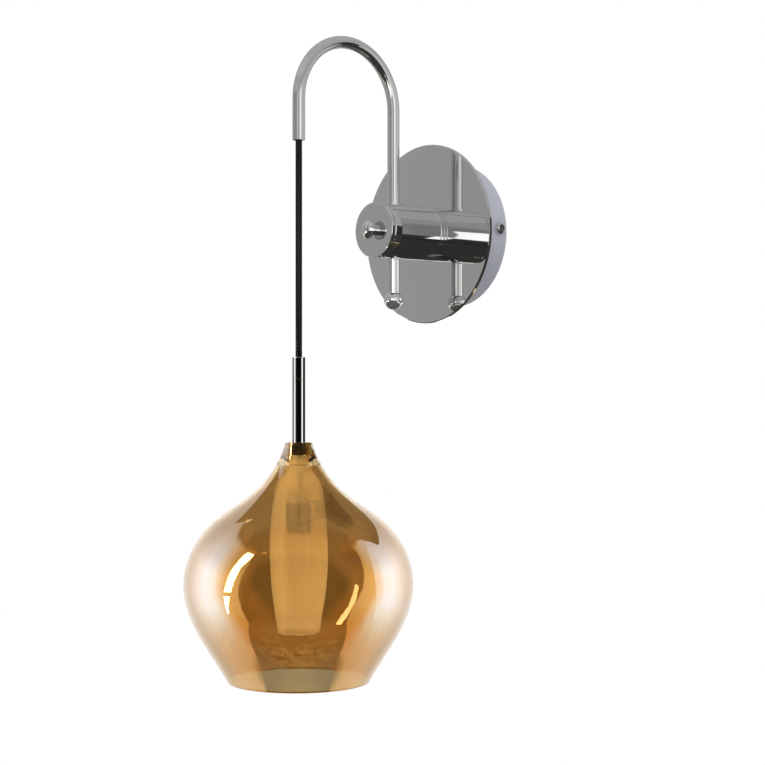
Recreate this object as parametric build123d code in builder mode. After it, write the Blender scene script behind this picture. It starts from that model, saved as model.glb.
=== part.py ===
"""Hanging pendant wall sconce.

Round canopy with a mirror-polished front disc, a stubby barrel standing out of it, a crook arm
through the barrel, and a glass shade that hangs on a cord from the crook's tip.

Frame: millimetres, +Z up. The wall is the plane Y = 0 and the lamp stands out of it towards -Y.
Origin: centre of the wall bracket's screw slots, on the wall.
Depths are measured out of the wall, so a depth d lies at Y = -d. Heights are measured from the
barrel's axis, which is level with the origin.
"""

import os
from math import asin, degrees, sqrt

from build123d import *

os.makedirs("parts", exist_ok=True)

# ---------------------------------------------------------------- clearances
press_gap = 0.05        # between pieces that are pressed or screwed together
running_gap = 0.08      # radial play of a shaft in its bearing
seat_gap = 0.2          # between pieces of one body that nest
moving_gap = 0.3        # between pieces that move past each other

# ---------------------------------------------------------------- canopy
disc_d = 120.0          # mirror disc
disc_t = 2.0
cup_d = 96.5            # side wall behind the disc
cup_wall = 1.2
canopy_depth = 28.5     # wall to the mirror face
wall_gap = 0.5          # cup rim to the wall

# ---------------------------------------------------------------- wall bracket
strap_width = 20.0
strap_t = 2.0
tab_length = 13.0
slot_spacing = 60.0
slot_length = 12.0
slot_width = 5.0
entry_d = 16.0          # hole for the supply cable
side_screw_depth = 7.4
side_screw_rise = 2.0

# ---------------------------------------------------------------- small screws
screw_d = 4.0
head_d = 7.6
head_h = 2.6
recess_width = 1.1      # arms of the cross recess
recess_depth = 1.2

# ---------------------------------------------------------------- terminal block
block_x = 16.5          # its centre, beside the cable hole
block_width = 12.0
block_length = 24.0
block_height = 12.0
pole_pitch = 8.0
pole_bore = 3.0
pole_wall = 0.8
pole_depth = 8.0
pole_screw_d = 3.0
pole_screw_reach = 4.4
block_screw_d = 3.0
block_screw_head_d = 5.0
block_screw_head_h = 1.6

# ---------------------------------------------------------------- leads
lead_d = 3.4            # sheathed twin lead inside the arm, barrel and sleeve
core_d = 1.6
core_bend = 2.6
lead_end_depth = 14.0   # where the sheath stops inside the canopy
earth_x = -16.0
earth_wire_d = 2.0
earth_bend = 3.0
ring_d = 7.2            # ring terminal
ring_t = 0.8
tongue_width = 2.4
tongue_length = 5.6

# ---------------------------------------------------------------- canopy fixing
nipple_d = 10.0         # hollow threaded tube through disc and cup
nipple_bore = 4.8
nipple_back = 17.0      # its end inside the canopy, from the wall
nut_af = 14.0
nut_t = 3.0
washer_d = 15.0
washer_t = 0.8

# ---------------------------------------------------------------- barrel
barrel_d = 36.3
barrel_wall = 1.65
ring_length = 2.7       # foot ring against the mirror
barrel_length = 41.1
seam = 0.4              # dark line behind the cap
cap_length = 3.0
spigot_length = 4.0
spigot_wall = 2.0
edge_round = 0.5
arm_offset = 29.5       # mirror face to the arm's axis

# ---------------------------------------------------------------- arm
tube_d = 8.0
tube_wall = 1.0
crook_radius = 40.4
leg_top = 79.1          # height at which the crook starts to bend
tip_height = 52.8
swivel_limit = 70.0     # degrees each way
finial_d = 12.5
finial_drop = 45.5      # barrel axis to the finial's centre
finial_plug = 8.0
block_front = 10.4      # arm block, ahead of the arm's axis
block_back = 12.0       # and behind it
collar_wall = 0.75      # guide collars round the arm
collar_height = 3.6
collar_proud = 0.45     # above the barrel's crown

# ---------------------------------------------------------------- clamp knob
clamp_d = 4.0
clamp_pitch = 0.7       # advance for one turn
pad_length = 3.0
knob_washer_d = 8.0
knob_washer_t = 0.5
knob_neck_d = 7.0
knob_rim_d = 12.4
knob_rim_t = 1.0
knob_rim_front = 5.8    # ahead of the cap's face
knob_crown_front = 8.7
knob_crown_inset = 0.3  # step between rim and crown

# ---------------------------------------------------------------- cord and its pivot in the arm's tip
cord_d = 4.2
cord_length = 136.6     # hanging free, from the arm's tip to the sleeve
pivot_rise = 3.4        # pivot above the mouth of the arm tube
anchor_d = 4.4          # ball that the cord hangs from
lip_drop = 1.4          # seat lip below the pivot
bush_drop = 1.9         # lower face of the tip bush below the pivot
bush_rise = 4.5
cord_drop = 2.85        # full section of the cord starts this far below the pivot
core_neck_d = 2.0
conductor_hole_d = 2.4
mouth_flare = 0.6
mouth_flare_height = 1.5

# ---------------------------------------------------------------- sleeve and collar
sleeve_d = 8.0
sleeve_wall = 1.0
sleeve_length = 60.7
grip_length = 8.0
stem_d = 6.0            # hollow threaded stem that carries glass and lampholder
stem_bore = 3.9
stem_above = 8.5        # screwed into the sleeve
stem_below = 30.0
neck_collar_d = 10.2
neck_collar_height = 8.0
neck_collar_floor = 2.0
glass_washer_d = 9.8
glass_washer_t = 0.8

# ---------------------------------------------------------------- glass
diffuser_height = 109.0
diffuser_neck_r = 5.0
diffuser_belly_r = 18.2
diffuser_rim_r = 13.2
diffuser_wall = 1.7
shade_height = 149.4
shade_neck_r = 8.5
shade_belly_r = 72.8
shade_rim_r = 45.6
shade_wall = 2.0
shade_bore_r = 6.6
gasket_lip = 0.6        # thickness of the ring's inner edge

# ---------------------------------------------------------------- lampholder and bulb
stem_nut_af = 10.0
stem_nut_t = 3.0
holder_cap_d = 14.0
holder_cap_t = 3.5
holder_d = 16.0
holder_length = 18.0
pinch_width = 12.0      # flat foot of the bulb
pinch_t = 3.6
pinch_depth = 8.0
pin_pitch = 9.0
pin_width = 2.3
pin_t = 0.8
pin_length = 5.5
contact_t = 0.4
bulb_d = 13.5
bulb_length = 31.0
holder_screw_pitch = 10.0
holder_screw_d = 2.0
holder_screw_head_d = 3.2
holder_screw_head_h = 1.2

# ---------------------------------------------------------------- places worked out from the sizes
barrel_r = barrel_d / 2
barrel_bore_r = barrel_r - barrel_wall
tube_r = tube_d / 2
tube_bore_r = tube_r - tube_wall
disc_back = canopy_depth - disc_t
cup_r = cup_d / 2
cup_bore_r = cup_r - cup_wall
cup_floor = disc_back - cup_wall
ring_front = canopy_depth + ring_length
barrel_front = ring_front + barrel_length
cap_back = barrel_front + seam
cap_front = cap_back + cap_length
arm_depth = canopy_depth + arm_offset
reach = arm_depth + 2 * crook_radius
finial_seat = sqrt((finial_d / 2) ** 2 - tube_r**2)
tube_bottom = finial_seat - finial_drop
pivot_height = tip_height + pivot_rise
sleeve_top = tip_height - cord_length
sleeve_bottom = sleeve_top - sleeve_length
stem_top = sleeve_bottom + stem_above
stem_bottom = sleeve_bottom - stem_below
neck_collar_bottom = sleeve_bottom - neck_collar_floor
diffuser_top = neck_collar_bottom - glass_washer_t
holder_top = stem_bottom - holder_cap_t / 2
holder_bottom = holder_top - holder_length


def facing(depth, x=0.0, z=0.0):
    """Plane parallel to the wall, looking out of it: local x is +X and local y is +Z."""
    return Plane(origin=(x, -depth, z), x_dir=(1, 0, 0), z_dir=(0, -1, 0))


def level(depth, height, x=0.0):
    """Horizontal plane looking up, centred on the upright axis at that depth."""
    return Plane(origin=(x, -depth, height), x_dir=(1, 0, 0), z_dir=(0, 0, 1))


def upright(depth):
    """Upright axis at that depth."""
    return Axis((0, -depth, 0), (0, 0, 1))


def inset(curve, distance, start=0.0, stop=1.0, count=12):
    """Points at one distance inside a glass outline that runs downwards, between two of its shares."""
    points = []
    for step in range(count + 1):
        share = start + (stop - start) * step / count
        along = curve % share
        points.append(curve @ share + Vector(along.Y, -along.X) * distance)
    return points


def bell(neck_r, belly_r, rim_r, height, top, upper, lower):
    """Glass outline from shares of its height and of its swell and taper, from neck to rim."""
    swell = [(neck_r + (belly_r - neck_r) * out, top - height * down) for down, out in upper]
    taper = [(belly_r + (rim_r - belly_r) * inward, top - height * down) for down, inward in lower]
    return swell + taper


def cross_screw(shank_d, shank_length, pan_d, pan_h):
    """Pan-head screw with a cross recess: head above Z = 0, shank below."""
    with BuildPart() as screw:
        with BuildSketch():
            Circle(pan_d / 2)
        extrude(amount=pan_h)
        fillet(screw.edges().group_by(Axis.Z)[-1], radius=pan_h * 0.55)
        with BuildSketch():
            Circle(shank_d / 2)
        extrude(amount=-shank_length)
        with BuildSketch(Plane.XY.offset(pan_h)):
            Rectangle(pan_d * 0.55, recess_width)
            Rectangle(recess_width, pan_d * 0.55)
        extrude(amount=-recess_depth, mode=Mode.SUBTRACT)
    return screw.part


def slotted_screw(shank_d, shank_length, slot=0.6):
    """Headless slotted screw: slotted end at Z = 0, shank below."""
    with BuildPart() as screw:
        with BuildSketch():
            Circle(shank_d / 2)
        extrude(amount=-shank_length)
        with BuildSketch():
            Rectangle(shank_d + 1, slot)
        extrude(amount=-slot, mode=Mode.SUBTRACT)
    return screw.part


# ================================================================ wall bracket
tab_face = sqrt(cup_bore_r**2 - (strap_width / 2) ** 2) - seat_gap * 2

with BuildPart() as wall_bracket:
    with BuildSketch(facing(0)):
        Rectangle(2 * tab_face, strap_width)
    extrude(amount=strap_t)
    with BuildSketch(facing(0)):
        with Locations((tab_face - strap_t / 2, 0), (strap_t / 2 - tab_face, 0)):
            Rectangle(strap_t, strap_width)
    extrude(amount=tab_length)
    with BuildSketch(facing(0)):
        Circle(entry_d / 2)
        with Locations((slot_spacing / 2, 0), (-slot_spacing / 2, 0)):
            SlotOverall(slot_length, slot_width)
        with Locations((earth_x, 0)):
            Circle(screw_d / 2 + press_gap)
        with Locations((block_x, pole_pitch / 2)):
            Circle(block_screw_d / 2 + press_gap)
    extrude(amount=strap_t, mode=Mode.SUBTRACT)
    with BuildSketch(Plane.YZ):
        with Locations((-side_screw_depth, side_screw_rise)):
            Circle(screw_d / 2 + press_gap)
    extrude(amount=tab_face + 1, both=True, mode=Mode.SUBTRACT)
wall_bracket.part.label = "wall_bracket"
export_step(wall_bracket.part, "parts/wall_bracket.step")

# Green-and-yellow lead from the bracket's earth screw to the terminal block.
ring_front_depth = strap_t + ring_t
earth_route = [
    (earth_x, -3.2, -4.0),
    (earth_x, -4.2, -9.6),
    (-6.0, -pole_depth, -9.4),
    (4.0, -pole_depth - 0.6, -pole_pitch),
    (block_x - 1.5, -pole_depth, -pole_pitch),
]
with BuildPart() as earth_lead:
    with BuildLine() as earth_path:
        FilletPolyline(*earth_route, radius=earth_bend)
    with BuildSketch(Plane(origin=earth_path.line @ 0, z_dir=earth_path.line % 0)):
        Circle(earth_wire_d / 2)
    sweep(path=earth_path.line)
    with BuildSketch(facing(strap_t, earth_x)):
        Circle(ring_d / 2)
        with Locations((0, -tongue_length / 2)):
            Rectangle(tongue_width, tongue_length)
        Circle(screw_d / 2 + press_gap, mode=Mode.SUBTRACT)
    extrude(amount=ring_t)
earth_lead.part.label = "earth_lead"
export_step(earth_lead.part, "parts/earth_lead.step")

with BuildPart() as earth_screw:
    with Locations(facing(ring_front_depth, earth_x)):
        add(cross_screw(screw_d, ring_front_depth - wall_gap, head_d - 0.6, head_h))
earth_screw.part.label = "earth_screw"
export_step(earth_screw.part, "parts/earth_screw.step")

# ================================================================ terminal block
pole_heights = (-pole_pitch, 0.0, pole_pitch)
block_face = strap_t + block_height
insert_r = pole_bore / 2 + pole_wall
screw_rows = (block_x - block_width / 4, block_x + block_width / 4)

with BuildPart() as terminal_block:
    with BuildSketch(facing(strap_t, block_x)):
        Rectangle(block_width, block_length)
    extrude(amount=block_height)
    fillet(terminal_block.edges().filter_by(Axis.Y), radius=1.0)
    with BuildSketch(Plane.YZ.offset(block_x)):
        with Locations(*[(-pole_depth, height) for height in pole_heights]):
            Circle(insert_r + press_gap)
    extrude(amount=block_width, both=True, mode=Mode.SUBTRACT)
    with BuildSketch(facing(block_face)):
        with Locations(*[(x, height) for x in screw_rows for height in pole_heights]):
            Circle(pole_screw_d / 2 + press_gap * 2)
    extrude(amount=pole_depth - block_face, mode=Mode.SUBTRACT)
    with BuildSketch(facing(strap_t, block_x, pole_pitch / 2)):
        Circle(block_screw_d / 2 + press_gap)
    extrude(amount=block_height, mode=Mode.SUBTRACT)
terminal_block.part.label = "terminal_block"
export_step(terminal_block.part, "parts/terminal_block.step")

with BuildPart() as terminal_inserts:
    with BuildSketch(Plane.YZ.offset(block_x)):
        with Locations(*[(-pole_depth, height) for height in pole_heights]):
            Circle(insert_r)
            Circle(pole_bore / 2, mode=Mode.SUBTRACT)
    extrude(amount=block_width / 2 - seat_gap, both=True)
    with BuildSketch(facing(block_face)):
        with Locations(*[(x, height) for x in screw_rows for height in pole_heights]):
            Circle(pole_screw_d / 2 + press_gap * 2)
    extrude(amount=pole_depth - block_face, mode=Mode.SUBTRACT)
terminal_inserts.part.label = "terminal_inserts"
export_step(terminal_inserts.part, "parts/terminal_inserts.step")

with BuildPart() as terminal_screws:
    with Locations(*[facing(block_face - 0.4, x, height) for x in screw_rows for height in pole_heights]):
        add(slotted_screw(pole_screw_d, pole_screw_reach))
terminal_screws.part.label = "terminal_screws"
export_step(terminal_screws.part, "parts/terminal_screws.step")

with BuildPart() as block_screw:
    with Locations(facing(block_face, block_x, pole_pitch / 2)):
        add(cross_screw(block_screw_d, block_face - wall_gap, block_screw_head_d, block_screw_head_h))
block_screw.part.label = "block_screw"
export_step(block_screw.part, "parts/block_screw.step")

# ================================================================ canopy
with BuildPart() as canopy_cup:
    with BuildSketch(facing(wall_gap)):
        Circle(cup_r)
    extrude(amount=disc_back - wall_gap)
    with BuildSketch(facing(wall_gap)):
        Circle(cup_bore_r)
    extrude(amount=cup_floor - wall_gap, mode=Mode.SUBTRACT)
    with BuildSketch(facing(cup_floor)):
        Circle(nipple_d / 2 + seat_gap)
    extrude(amount=cup_wall, mode=Mode.SUBTRACT)
    with BuildSketch(Plane.YZ):
        with Locations((-side_screw_depth, side_screw_rise)):
            Circle(screw_d / 2 + seat_gap)
    extrude(amount=cup_r + 1, both=True, mode=Mode.SUBTRACT)
canopy_cup.part.label = "canopy_cup"
export_step(canopy_cup.part, "parts/canopy_cup.step")

with BuildPart() as canopy_disc:
    with BuildSketch(facing(disc_back)):
        Circle(disc_d / 2)
        Circle(nipple_d / 2 + seat_gap, mode=Mode.SUBTRACT)
    extrude(amount=disc_t)
    front_rim = canopy_disc.edges().group_by(Axis.Y)[0].sort_by(SortBy.LENGTH)[-1]
    chamfer(front_rim, length=edge_round)
canopy_disc.part.label = "canopy_disc"
export_step(canopy_disc.part, "parts/canopy_disc.step")

# One pan-head screw on each side of the cup, into the bracket's tabs.
side_shank = cup_r - tab_face + strap_t
with BuildPart() as canopy_side_screws:
    for side in (1, -1):
        seat = Plane(
            origin=(side * (cup_r + press_gap), -side_screw_depth, side_screw_rise),
            x_dir=(0, 0.55, 0.84),
            z_dir=(side, 0, 0),
        )
        with Locations(seat):
            add(cross_screw(screw_d, side_shank, head_d, head_h))
canopy_side_screws.part.label = "canopy_side_screws"
export_step(canopy_side_screws.part, "parts/canopy_side_screws.step")

# ================================================================ barrel
with BuildPart() as barrel_ring:
    with BuildSketch(facing(canopy_depth)):
        Circle(barrel_r)
        Circle(nipple_d / 2 + seat_gap, mode=Mode.SUBTRACT)
    extrude(amount=ring_length)
    rims = barrel_ring.edges().filter_by(GeomType.CIRCLE).sort_by(SortBy.LENGTH)[-2:]
    fillet(rims, radius=edge_round)
barrel_ring.part.label = "barrel_ring"
export_step(barrel_ring.part, "parts/barrel_ring.step")

collar_bore_r = tube_r + running_gap
collar_r = collar_bore_r + collar_wall
collar_top = barrel_r + collar_proud
collar_foot = collar_top - collar_height

with BuildPart() as barrel_tube:
    with BuildSketch(facing(ring_front)):
        Circle(barrel_r)
        Circle(barrel_bore_r, mode=Mode.SUBTRACT)
    extrude(amount=barrel_length)
    outer_rims = barrel_tube.edges().filter_by(GeomType.CIRCLE).sort_by(SortBy.LENGTH)[-2:]
    fillet(outer_rims, radius=edge_round)
    with BuildSketch(level(arm_depth, 0)):
        Circle(collar_r + press_gap)
    extrude(amount=barrel_r + 1, both=True, mode=Mode.SUBTRACT)
barrel_tube.part.label = "barrel_tube"
export_step(barrel_tube.part, "parts/barrel_tube.step")

with BuildPart() as barrel_cap:
    with BuildSketch(facing(cap_back)):
        Circle(barrel_r)
    extrude(amount=cap_length)
    cap_rims = barrel_cap.edges().filter_by(GeomType.CIRCLE)
    fillet(cap_rims, radius=edge_round)
    with BuildSketch(facing(cap_back)):
        Circle(barrel_bore_r - press_gap)
        Circle(barrel_bore_r - press_gap - spigot_wall, mode=Mode.SUBTRACT)
    extrude(amount=-spigot_length)
    with BuildSketch(facing(cap_back)):
        Circle(clamp_d / 2 + moving_gap)
    extrude(amount=cap_length, mode=Mode.SUBTRACT)
barrel_cap.part.label = "barrel_cap"
export_step(barrel_cap.part, "parts/barrel_cap.step")

# Solid block inside the barrel: it guides the arm, takes the nipple behind and the clamp in front.
block_start = arm_depth - block_back
block_end = arm_depth + block_front
nipple_front = arm_depth - tube_r - 2 * pole_wall

with BuildPart() as arm_block:
    with BuildSketch(facing(block_start)):
        Circle(barrel_bore_r - press_gap)
    extrude(amount=block_end - block_start)
    with BuildSketch(level(arm_depth, 0)):
        Circle(tube_r + running_gap)
    extrude(amount=barrel_r, both=True, mode=Mode.SUBTRACT)
    for side in (1, -1):
        with BuildSketch(level(arm_depth, side * (collar_foot - press_gap))):
            Circle(collar_r + press_gap)
        extrude(amount=side * barrel_r, mode=Mode.SUBTRACT)
    with BuildSketch(facing(block_start)):
        Circle(nipple_d / 2)
    extrude(amount=nipple_front - block_start, mode=Mode.SUBTRACT)
    with BuildSketch(facing(block_start)):
        Circle(nipple_bore / 2)
    extrude(amount=block_back, mode=Mode.SUBTRACT)
    with BuildSketch(facing(arm_depth)):
        Circle(clamp_d / 2 + running_gap)
    extrude(amount=block_front, mode=Mode.SUBTRACT)
arm_block.part.label = "arm_block"
export_step(arm_block.part, "parts/arm_block.step")

with BuildPart() as arm_collars:
    for side in (1, -1):
        with BuildSketch(level(arm_depth, side * collar_foot)):
            Circle(collar_r)
            Circle(collar_bore_r, mode=Mode.SUBTRACT)
        extrude(amount=side * collar_height)
    for end in (0, -1):
        fillet(arm_collars.edges().group_by(Axis.Z)[end], radius=collar_wall * 0.4)
arm_collars.part.label = "arm_collars"
export_step(arm_collars.part, "parts/arm_collars.step")

# Hollow nipple from inside the canopy into the arm block, with its washer and nut.
with BuildPart() as canopy_nipple:
    with BuildSketch(facing(nipple_back)):
        Circle(nipple_d / 2 - press_gap)
        Circle(nipple_bore / 2, mode=Mode.SUBTRACT)
    extrude(amount=nipple_front - press_gap - nipple_back)
canopy_nipple.part.label = "canopy_nipple"
export_step(canopy_nipple.part, "parts/canopy_nipple.step")

with BuildPart() as nipple_washer:
    with BuildSketch(facing(cup_floor - washer_t)):
        Circle(washer_d / 2)
        Circle(nipple_d / 2 + seat_gap, mode=Mode.SUBTRACT)
    extrude(amount=washer_t)
nipple_washer.part.label = "nipple_washer"
export_step(nipple_washer.part, "parts/nipple_washer.step")

with BuildPart() as nipple_nut:
    with BuildSketch(facing(cup_floor - washer_t - nut_t)):
        RegularPolygon(nut_af / 2, 6, major_radius=False)
        Circle(nipple_d / 2, mode=Mode.SUBTRACT)
    extrude(amount=nut_t)
nipple_nut.part.label = "nipple_nut"
export_step(nipple_nut.part, "parts/nipple_nut.step")

# ================================================================ leads inside barrel and canopy
with BuildPart() as barrel_lead:
    with BuildSketch(facing(lead_end_depth)):
        Circle(lead_d / 2)
    extrude(amount=arm_depth - lead_end_depth)
barrel_lead.part.label = "barrel_lead"
export_step(barrel_lead.part, "parts/barrel_lead.step")

core_start = core_d / 2 + press_gap
core_ends = ((-core_start, 0.0), (core_start, pole_pitch))
with BuildPart() as lamp_cores:
    for start_height, pole_height in core_ends:
        core_route = [
            (0, -lead_end_depth, start_height),
            (0, -pole_depth, start_height),
            (block_x - block_width / 2 - 4.0, -pole_depth, pole_height),
            (block_x - 1.5, -pole_depth, pole_height),
        ]
        with BuildLine() as core_path:
            FilletPolyline(*core_route, radius=core_bend)
        with BuildSketch(Plane(origin=core_path.line @ 0, z_dir=core_path.line % 0)):
            Circle(core_d / 2)
        sweep(path=core_path.line)
lamp_cores.part.label = "lamp_cores"
export_step(lamp_cores.part, "parts/lamp_cores.step")

# ================================================================ clamp knob
pad_back = arm_depth + tube_r + moving_gap
screw_tip = pad_back + pad_length + moving_gap
washer_front = cap_front + knob_washer_t

with BuildPart() as clamp_pad:
    with BuildSketch(facing(pad_back)):
        Circle(clamp_d / 2)
    extrude(amount=pad_length)
clamp_pad.part.label = "clamp_pad"
export_step(clamp_pad.part, "parts/clamp_pad.step")

with BuildPart() as knob_washer:
    with BuildSketch(facing(cap_front + press_gap)):
        Circle(knob_washer_d / 2)
        Circle(clamp_d / 2 + running_gap, mode=Mode.SUBTRACT)
    extrude(amount=knob_washer_t - 2 * press_gap)
knob_washer.part.label = "knob_washer"
export_step(knob_washer.part, "parts/knob_washer.step")

# The knob is a mushroom: a thin rim on a neck, and a low crown that is a slice of a ball.
crown_base_r = knob_rim_d / 2 - knob_crown_inset
crown_height = knob_crown_front - knob_rim_front
crown_r = (crown_base_r**2 + crown_height**2) / (2 * crown_height)
with BuildPart() as clamp_knob:
    with BuildSketch(facing(cap_front + knob_rim_front)):
        Circle(crown_base_r)
    extrude(amount=crown_height)
    with Locations((0, -cap_front - knob_crown_front + crown_r, 0)):
        Sphere(crown_r, mode=Mode.INTERSECT)
    with BuildSketch(facing(cap_front + knob_rim_front - knob_rim_t)):
        Circle(knob_rim_d / 2)
    extrude(amount=knob_rim_t)
    knob_rims = clamp_knob.edges().filter_by(GeomType.CIRCLE).sort_by(SortBy.LENGTH)[-2:]
    fillet(knob_rims, radius=knob_crown_inset / 2)
    with BuildSketch(facing(washer_front)):
        Circle(knob_neck_d / 2)
    extrude(amount=knob_rim_front - knob_washer_t)
    with BuildSketch(facing(washer_front)):
        Circle(clamp_d / 2)
    extrude(amount=knob_rim_front, mode=Mode.SUBTRACT)
clamp_knob.part.label = "clamp_knob"
export_step(clamp_knob.part, "parts/clamp_knob.step")

with BuildPart() as clamp_screw:
    with BuildSketch(facing(screw_tip)):
        Circle(clamp_d / 2 - press_gap)
    extrude(amount=washer_front + knob_rim_front - press_gap - screw_tip)
clamp_screw.part.label = "clamp_screw"
export_step(clamp_screw.part, "parts/clamp_screw.step")

# ================================================================ arm
# The window lets the lead into the barrel over the arm's whole swivel.
window_half = swivel_limit + degrees(asin((lead_d / 2 + seat_gap) / tube_bore_r))
window_height = lead_d + 2 * moving_gap + core_d

with BuildPart() as arm_tube:
    with BuildLine(Plane.YZ) as arm_path:
        Line((-arm_depth, tube_bottom), (-arm_depth, leg_top))
        CenterArc((-arm_depth - crook_radius, leg_top), crook_radius, 0, 180)
        Line((-reach, leg_top), (-reach, tip_height))
    with BuildSketch(level(arm_depth, tube_bottom)):
        Circle(tube_r)
        Circle(tube_bore_r, mode=Mode.SUBTRACT)
    sweep(path=arm_path.line)
    with BuildSketch(level(arm_depth, -window_height / 2)):
        with BuildLine():
            window_rim = CenterArc((0, 0), tube_d, 90 - window_half, 2 * window_half)
            Line((0, 0), window_rim @ 0)
            Line(window_rim @ 1, (0, 0))
        make_face()
    extrude(amount=window_height, mode=Mode.SUBTRACT)
    with Locations((0, -reach, tip_height)):
        Cone(
            tube_bore_r + mouth_flare,
            tube_bore_r,
            mouth_flare_height,
            align=(Align.CENTER, Align.CENTER, Align.MIN),
            mode=Mode.SUBTRACT,
        )
arm_tube.part.label = "arm_tube"
export_step(arm_tube.part, "parts/arm_tube.step")

with BuildPart() as arm_finial:
    with Locations((0, -arm_depth, -finial_drop)):
        Sphere(finial_d / 2)
    with BuildSketch(level(arm_depth, tube_bottom)):
        Circle(finial_d / 2)
    extrude(amount=finial_d, mode=Mode.SUBTRACT)
    with BuildSketch(level(arm_depth, tube_bottom)):
        Circle(tube_bore_r - press_gap)
    extrude(amount=finial_plug)
arm_finial.part.label = "arm_finial"
export_step(arm_finial.part, "parts/arm_finial.step")

anchor_r = anchor_d / 2
seat_r = anchor_r + running_gap
lip_r = sqrt(seat_r**2 - lip_drop**2)
with BuildPart() as arm_tip_bush:
    with BuildSketch(level(reach, pivot_height - bush_drop)):
        Circle(tube_bore_r - press_gap)
    extrude(amount=bush_drop + bush_rise)
    with Locations((0, -reach, pivot_height)):
        Sphere(seat_r, mode=Mode.SUBTRACT)
    with Locations((0, -reach, pivot_height - bush_drop)):
        Cone(
            lip_r + moving_gap,
            lip_r,
            bush_drop - lip_drop,
            align=(Align.CENTER, Align.CENTER, Align.MIN),
            mode=Mode.SUBTRACT,
        )
    with BuildSketch(level(reach, pivot_height)):
        Circle(conductor_hole_d / 2)
    extrude(amount=bush_rise, mode=Mode.SUBTRACT)
arm_tip_bush.part.label = "arm_tip_bush"
export_step(arm_tip_bush.part, "parts/arm_tip_bush.step")

lead_top = pivot_height + bush_rise
with BuildPart() as arm_lead:
    with BuildLine(Plane.YZ) as lead_path:
        Line((-arm_depth, lead_d / 2 + moving_gap), (-arm_depth, leg_top))
        CenterArc((-arm_depth - crook_radius, leg_top), crook_radius, 0, 180)
        Line((-reach, leg_top), (-reach, lead_top))
    with BuildSketch(level(arm_depth, lead_d / 2 + moving_gap)):
        Circle(lead_d / 2)
    sweep(path=lead_path.line)
arm_lead.part.label = "arm_lead"
export_step(arm_lead.part, "parts/arm_lead.step")

# ================================================================ cord
with BuildPart() as cord_anchor:
    with Locations((0, -reach, pivot_height)):
        Sphere(anchor_r)
cord_anchor.part.label = "cord_anchor"
export_step(cord_anchor.part, "parts/cord_anchor.step")

cord_top = pivot_height - cord_drop
with BuildPart() as cord:
    with BuildSketch(level(reach, sleeve_top)):
        Circle(cord_d / 2)
    extrude(amount=cord_top - sleeve_top)
    with BuildSketch(level(reach, cord_top)):
        Circle(core_neck_d / 2)
    extrude(amount=cord_drop)
    with Locations((0, -reach, pivot_height)):
        Sphere(anchor_r + seat_gap, mode=Mode.SUBTRACT)
cord.part.label = "cord"
export_step(cord.part, "parts/cord.step")
print("cord: one straight run, no bends, length", round(cord_top - sleeve_top, 2), "mm")

# ================================================================ sleeve
sleeve_r = sleeve_d / 2
sleeve_bore_r = sleeve_r - sleeve_wall
with BuildPart() as sleeve:
    with BuildSketch(level(reach, sleeve_bottom)):
        Circle(sleeve_r)
        Circle(sleeve_bore_r, mode=Mode.SUBTRACT)
    extrude(amount=sleeve_length)
    top_rim = sleeve.edges().group_by(Axis.Z)[-1].sort_by(SortBy.LENGTH)[-1]
    fillet(top_rim, radius=sleeve_wall * 0.4)
sleeve.part.label = "sleeve"
export_step(sleeve.part, "parts/sleeve.step")

with BuildPart() as cord_grip:
    with BuildSketch(level(reach, sleeve_top - grip_length)):
        Circle(sleeve_bore_r - press_gap)
        Circle(lead_d / 2 + press_gap, mode=Mode.SUBTRACT)
    extrude(amount=grip_length)
cord_grip.part.label = "cord_grip"
export_step(cord_grip.part, "parts/cord_grip.step")

with BuildPart() as pendant_lead:
    with BuildSketch(level(reach, holder_top)):
        Circle(lead_d / 2)
    extrude(amount=sleeve_top - holder_top)
pendant_lead.part.label = "pendant_lead"
export_step(pendant_lead.part, "parts/pendant_lead.step")

stem_r = stem_d / 2
with BuildPart() as stem_nipple:
    with BuildSketch(level(reach, stem_bottom)):
        Circle(stem_r - press_gap)
        Circle(stem_bore / 2, mode=Mode.SUBTRACT)
    extrude(amount=stem_top - stem_bottom)
stem_nipple.part.label = "stem_nipple"
export_step(stem_nipple.part, "parts/stem_nipple.step")

# Cup-shaped collar: the sleeve stands in it, the stem passes through its floor.
with BuildPart() as neck_collar:
    with BuildSketch(level(reach, neck_collar_bottom)):
        Circle(neck_collar_d / 2)
        Circle(stem_r + press_gap, mode=Mode.SUBTRACT)
    extrude(amount=neck_collar_height)
    with BuildSketch(level(reach, sleeve_bottom)):
        Circle(sleeve_r + press_gap)
    extrude(amount=neck_collar_height, mode=Mode.SUBTRACT)
    foot_rim = neck_collar.edges().group_by(Axis.Z)[0].sort_by(SortBy.LENGTH)[-1]
    fillet(foot_rim, radius=edge_round * 2)
neck_collar.part.label = "neck_collar"
export_step(neck_collar.part, "parts/neck_collar.step")

with BuildPart() as glass_washer:
    with BuildSketch(level(reach, diffuser_top)):
        Circle(glass_washer_d / 2)
        Circle(stem_r + press_gap, mode=Mode.SUBTRACT)
    extrude(amount=glass_washer_t)
glass_washer.part.label = "glass_washer"
export_step(glass_washer.part, "parts/glass_washer.step")

# ================================================================ inner diffuser
diffuser_upper = [
    (0.0, 0.0),
    (0.059, 0.152),
    (0.099, 0.386),
    (0.139, 0.620),
    (0.180, 0.727),
    (0.240, 0.818),
    (0.383, 0.955),
    (0.554, 1.0),
]
diffuser_lower = [(0.717, 0.14), (0.879, 0.56), (1.0, 1.0)]
diffuser_outline = bell(
    diffuser_neck_r,
    diffuser_belly_r,
    diffuser_rim_r,
    diffuser_height,
    diffuser_top,
    diffuser_upper,
    diffuser_lower,
)
diffuser_curve = Spline(*diffuser_outline, mode=Mode.PRIVATE)
glass_plane = facing(reach)

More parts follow.
